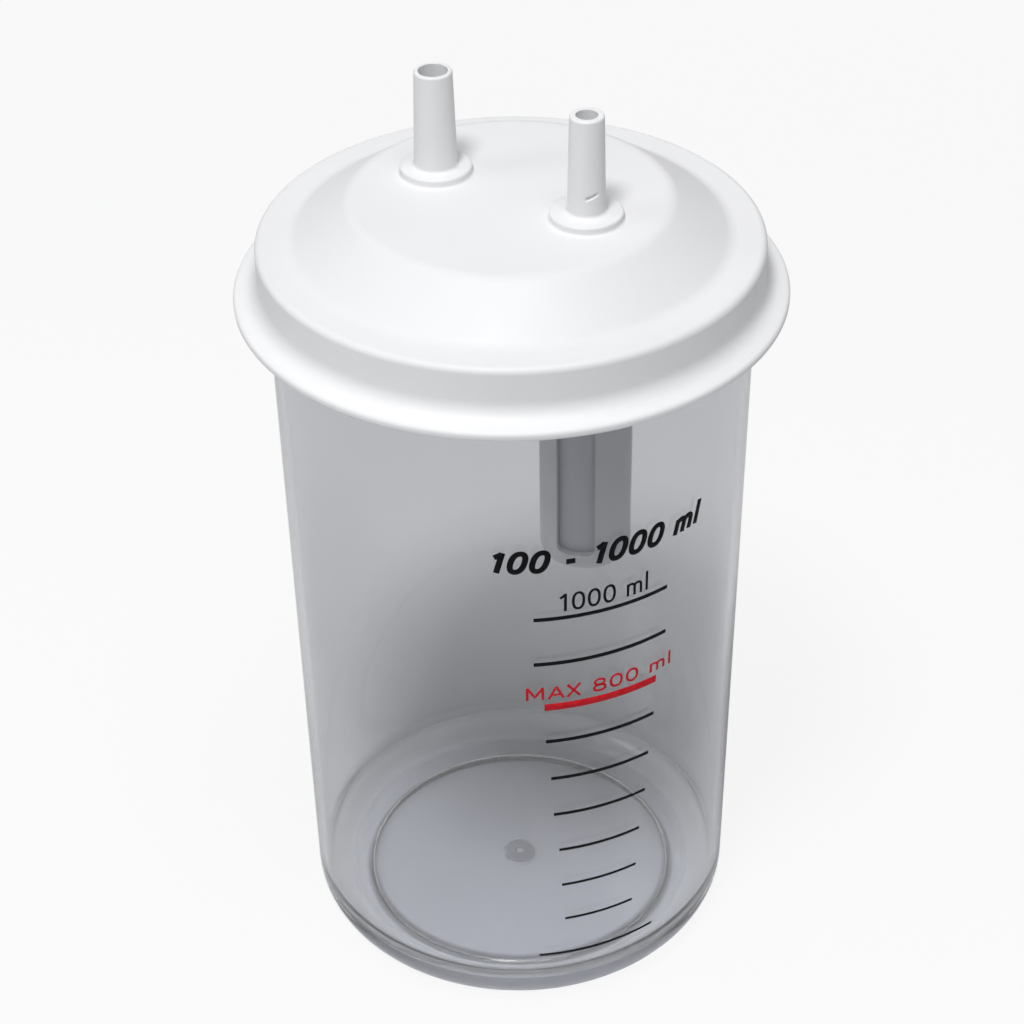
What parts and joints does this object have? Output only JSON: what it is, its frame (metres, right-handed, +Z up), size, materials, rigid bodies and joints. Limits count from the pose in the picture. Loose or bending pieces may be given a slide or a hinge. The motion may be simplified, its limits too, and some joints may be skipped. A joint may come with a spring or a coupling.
{
  "type": "suction canister",
  "caption": "Clear graduated suction jar with a brimmed white lid, hose spigots and an overflow valve with a float in a slotted cage.",
  "frame": {"origin": "centre of the circle on which the jar stands, on the standing plane", "axes": "+Z up along the jar's axis; the middle of the printed scale faces -Y; the vacuum port lies 55.3 degrees clockwise of +X seen from above, the patient port opposite"},
  "size_m": [0.1272, 0.1272, 0.2287],
  "materials": {
    "jar_clear": "clear polished polycarbonate, slightly smoky",
    "seal_rubber": "pale silicone rubber",
    "lid_white": "white moulded polypropylene, satin",
    "cage_white": "white moulded polypropylene, satin",
    "float_white": "white moulded plastic, satin",
    "cap_rubber": "grey silicone rubber"
  },
  "bodies": {
    "jar": {"jar": "jar_clear"},
    "lid": {"lid": "lid_white", "lid_seal": "seal_rubber", "float_cage": "cage_white"},
    "float": {"float_body": "float_white", "float_seal": "cap_rubber"}
  },
  "joints": [
    {"name": "lid_lift", "type": "slide", "parent": "jar", "child": "lid", "axis": [0, 0, 1], "range_m": [0, 0.09]},
    {"name": "float_rise", "type": "slide", "parent": "lid", "child": "float", "axis": [0, 0, 1], "range_m": [0, 0.011]}
  ]
}
